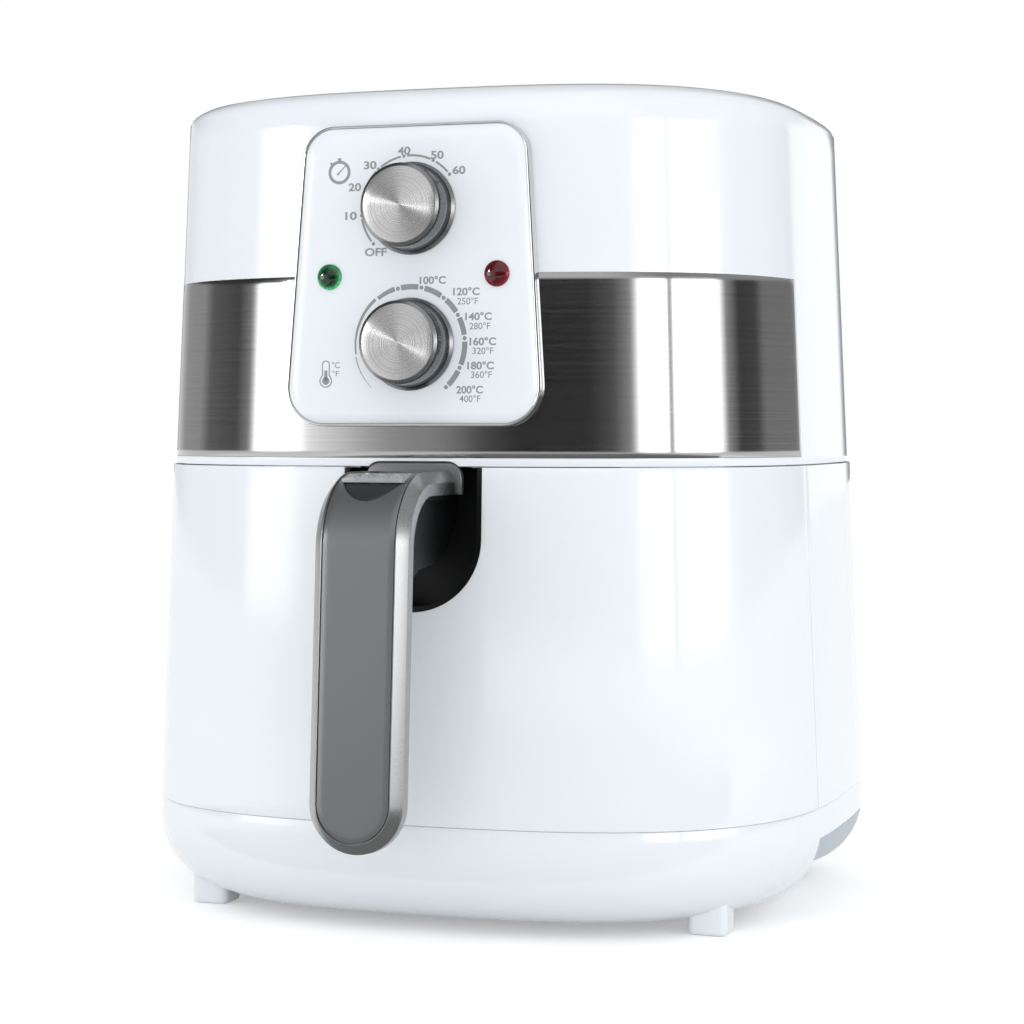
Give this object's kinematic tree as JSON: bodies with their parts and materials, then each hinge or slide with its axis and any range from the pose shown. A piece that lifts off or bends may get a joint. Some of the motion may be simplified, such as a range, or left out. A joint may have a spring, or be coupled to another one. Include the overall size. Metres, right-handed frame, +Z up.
{
  "type": "deep fryer",
  "caption": "Worktop hot-air fryer: white moulded body with a steel band, two dials, and a pull-out pan with a perforated basket on an upright handle.",
  "frame": {"origin": "bottom centre of the outer box, on the surface the feet stand on", "axes": "+Z up, front with dials and handle towards -Y, +X to the right seen from the front"},
  "size_m": [0.297, 0.3423, 0.345],
  "materials": {
    "white_housing": "gloss, cool white",
    "brushed_band": "brushed along its length",
    "panel_trim_metal": "bright",
    "green_lens": "clear green, faceted inside",
    "red_lens": "clear dark red",
    "circuit_board": "satin",
    "zinc_steel": "zinc plated sheet",
    "ceramic_switch": "matt",
    "copper_bulb": "dull copper",
    "bright_aluminium": "pressed sheet",
    "heating_rod": "oxidised sheath",
    "plated_steel": "bright zinc",
    "motor_casing": "satin grey",
    "white_fan": "satin",
    "dark_plastic": "satin black",
    "black_rubber": "matt",
    "black_plastic": "satin",
    "nonstick": "non-stick coating, satin",
    "knob_grip": "dark plated, ribbed",
    "spun_aluminium": "spun in circles, bright",
    "silver_paint": "satin silver paint",
    "gunmetal_paint": "satin gunmetal paint",
    "button_plastic": "satin",
    "clear_plastic": "clear, ribbed"
  },
  "bodies": {
    "housing": {"base_housing": "white_housing", "chamber_floor": "dark_plastic", "rear_housing": "white_housing", "upper_housing": "white_housing", "steel_band": "brushed_band", "control_panel": "white_housing", "panel_trim": "panel_trim_metal", "power_lens": "green_lens", "heat_lens": "red_lens", "lamp_board": "circuit_board", "timer_unit": "zinc_steel", "thermostat_unit": "ceramic_switch", "thermostat_bulb": "copper_bulb", "chamber_liner": "zinc_steel", "chamber_top": "zinc_steel", "reflector_dome": "bright_aluminium", "heating_element": "heating_rod", "element_guard": "plated_steel", "fan_motor": "motor_casing", "motor_bracket": "zinc_steel", "rear_vent": "dark_plastic", "cord_gland": "black_rubber", "front_feet": "white_housing", "rear_feet": "white_housing", "base_screws": "plated_steel", "drawer_switch": "dark_plastic"},
    "fan": {"fan_impeller": "bright_aluminium", "cooling_fan": "white_fan", "motor_shaft": "plated_steel"},
    "timer_dial": {"timer_knob": "knob_grip", "timer_face": "spun_aluminium", "timer_spindle": "plated_steel"},
    "temperature_dial": {"temperature_knob": "knob_grip", "temperature_face": "spun_aluminium", "temperature_spindle": "plated_steel"},
    "drawer": {"drawer_front": "white_housing", "pocket_liner": "black_plastic", "pan": "nonstick", "pan_screws": "plated_steel", "basket": "nonstick", "basket_floor": "nonstick", "handle_bracket": "zinc_steel", "bracket_screws": "plated_steel", "handle_core": "black_plastic", "handle_frame": "silver_paint", "handle_insert": "gunmetal_paint", "handle_root": "gunmetal_paint"},
    "thumb_button": {"release_button": "button_plastic", "button_spring": "plated_steel"},
    "sliding_guard": {"button_guard": "clear_plastic"}
  },
  "joints": [
    {"name": "drawer_slide", "type": "slide", "parent": "housing", "child": "drawer", "axis": [0, -1, 0], "range_m": [0, 0.25]},
    {"name": "timer_turn", "type": "hinge", "parent": "housing", "child": "timer_dial", "pos_m": [0, -0.1003, 0.2925], "axis": [0, -0.9993, 0.0376], "range_deg": [-185, 0]},
    {"name": "temperature_turn", "type": "hinge", "parent": "housing", "child": "temperature_dial", "pos_m": [0, -0.10233, 0.2385], "axis": [0, -0.9993, 0.0376], "range_deg": [-281, 0]},
    {"name": "fan_spin", "type": "hinge", "parent": "housing", "child": "fan", "pos_m": [0, 0.0334, 0.215], "axis": [0, 0, 1], "continuous": true},
    {"name": "button_press", "type": "slide", "parent": "drawer", "child": "thumb_button", "axis": [0, 0, -1], "range_m": [0, 0.0035], "stiffness_N_per_m": 400, "springref_m": -0.001, "deforming": ["button_spring"]},
    {"name": "guard_slide", "type": "slide", "parent": "drawer", "child": "sliding_guard", "axis": [0, 1, 0], "range_m": [0, 0.014]}
  ]
}
